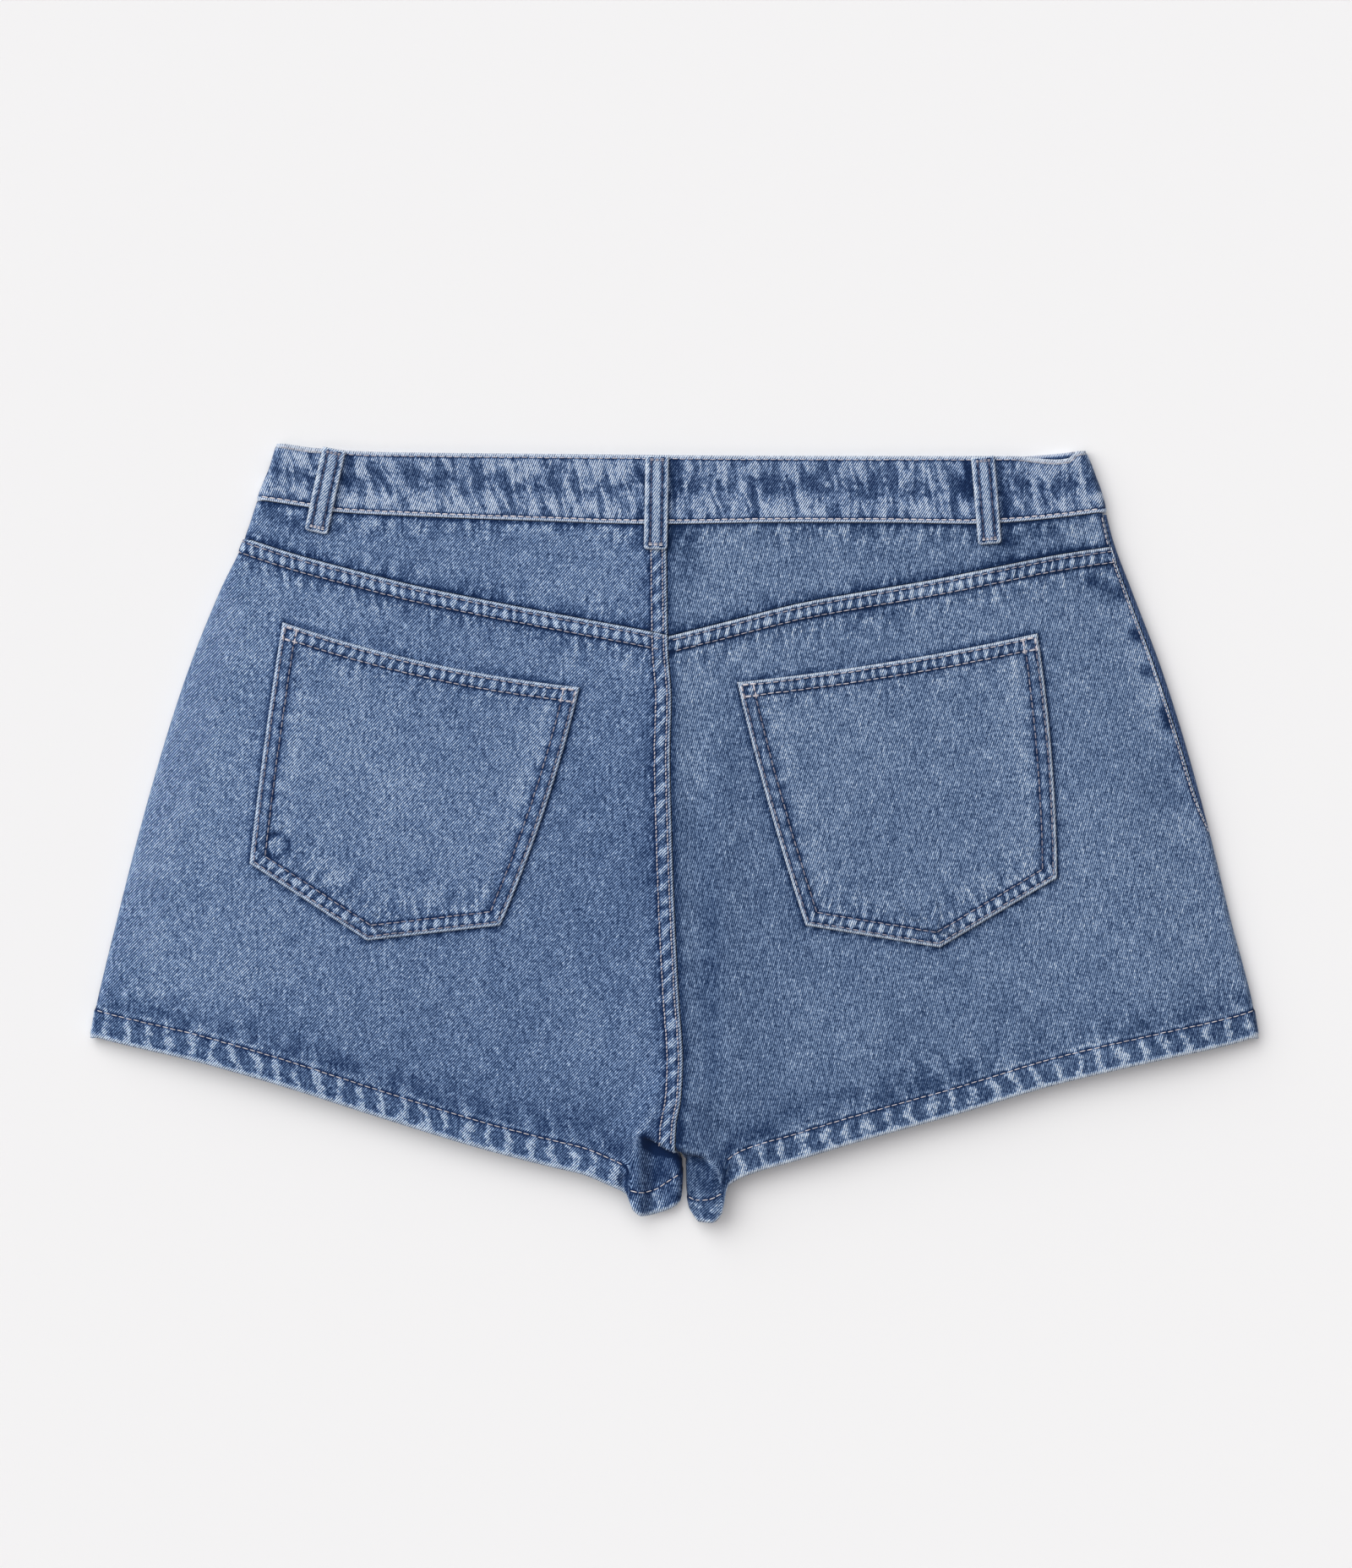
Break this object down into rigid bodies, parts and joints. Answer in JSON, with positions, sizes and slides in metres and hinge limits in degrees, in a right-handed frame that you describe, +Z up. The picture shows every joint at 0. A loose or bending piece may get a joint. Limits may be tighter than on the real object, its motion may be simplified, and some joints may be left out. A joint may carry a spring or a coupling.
{
  "type": "denim skort",
  "caption": "Wide faded denim skort laid flat with its back up: waistband with loops, yokes, patch pockets, flared legs and a skirt panel underneath.",
  "frame": {"origin": "on the surface that the garment lies on, under the middle of its outline", "axes": "+X across the garment from its left edge to its right one as it lies, +Y from the hems to the waistband, +Z up, out of the garment's back"},
  "size_m": [0.6365, 0.423, 0.0176],
  "materials": {
    "denim_waistband": "faded indigo twill, worn pale on folds and edges",
    "denim": "faded indigo twill, mottled",
    "denim_inside": "faded indigo twill, hidden side of the shorts"
  },
  "bodies": {
    "root": {"waistband_back": "denim_waistband", "waistband_front": "denim_waistband", "belt_loop_left": "denim_waistband", "belt_loop_centre": "denim_waistband", "belt_loop_right": "denim_waistband", "yoke_left": "denim", "yoke_right": "denim", "back_left": "denim", "back_right": "denim", "pocket_left": "denim", "pocket_right": "denim", "skirt_front": "denim", "front_left": "denim_inside", "front_right": "denim_inside"}
  },
  "joints": []
}
